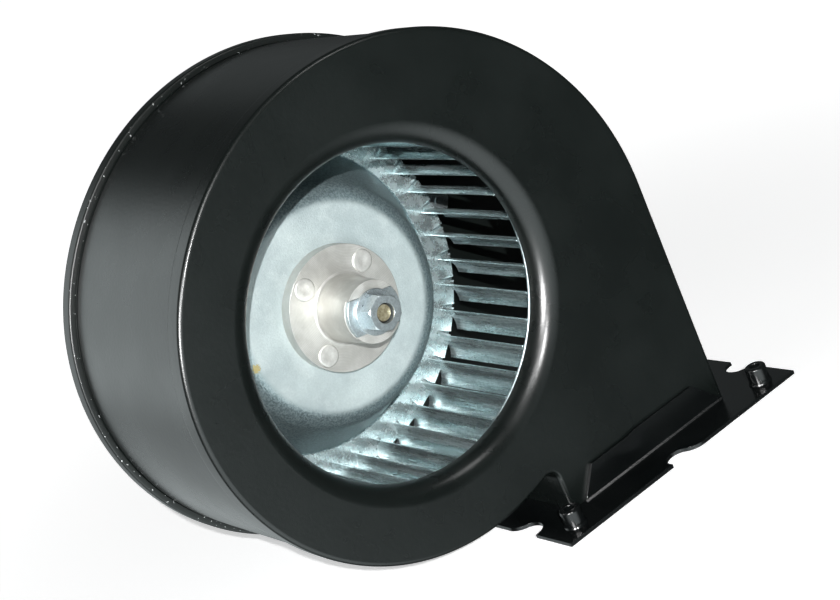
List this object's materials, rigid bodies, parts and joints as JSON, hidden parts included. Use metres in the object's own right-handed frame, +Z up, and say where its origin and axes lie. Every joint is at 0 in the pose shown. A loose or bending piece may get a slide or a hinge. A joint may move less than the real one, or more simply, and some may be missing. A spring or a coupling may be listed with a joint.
{
  "type": "dc blower fan",
  "caption": "Centrifugal blower: forward-curved galvanised wheel in a black scroll housing with a bell-mouth inlet, a flanged outlet and a direct-current motor inside the wheel",
  "frame": {"origin": "centre of the outlet flange on its mounting face, which is the part's lowest face", "axes": "X along the outlet flange, Y along the shaft from the inlet towards the motor, Z up from the mounting face"},
  "size_m": [0.1845, 0.131, 0.162],
  "materials": {
    "black_paint": "satin",
    "galvanised": "satin",
    "zinc_steel": "satin",
    "ferrite": "matte",
    "bearing_steel": "gloss",
    "black_plastic": "matte",
    "laminate": "matte",
    "brass": "satin",
    "carbon": "matte",
    "shaft_steel": "satin",
    "lamination_steel": "satin",
    "copper": "satin",
    "aluminium": "satin"
  },
  "bodies": {
    "housing": {"front_plate": "black_paint", "scroll_wrapper": "black_paint", "back_plate": "black_paint", "outlet_flange": "black_paint", "flange_bushes": "black_paint", "motor_plate": "galvanised", "plate_screws": "zinc_steel", "plate_nuts": "zinc_steel", "motor_can": "zinc_steel", "magnets": "ferrite", "front_bearing": "bearing_steel", "rear_bearing": "bearing_steel", "end_cap": "black_plastic", "brush_plate": "laminate", "brush_holders": "brass", "brushes": "carbon", "brush_springs": "bearing_steel", "terminals": "brass", "through_bolts": "zinc_steel", "bolt_nuts": "zinc_steel"},
    "rotor": {"shaft": "shaft_steel", "armature_core": "lamination_steel", "windings": "copper", "commutator": "copper", "thrust_washers": "bearing_steel", "wheel_disc": "galvanised", "blade_drum": "galvanised", "front_ring": "galvanised", "hub": "aluminium", "hub_rivets": "aluminium", "drive_pin": "bearing_steel", "lock_washer": "zinc_steel", "plain_washer": "zinc_steel", "hub_nut": "zinc_steel"}
  },
  "joints": [
    {"name": "rotor_spin", "type": "hinge", "parent": "housing", "child": "rotor", "pos_m": [-0.06135, 0, 0.084], "axis": [0, 1, 0], "continuous": true}
  ]
}
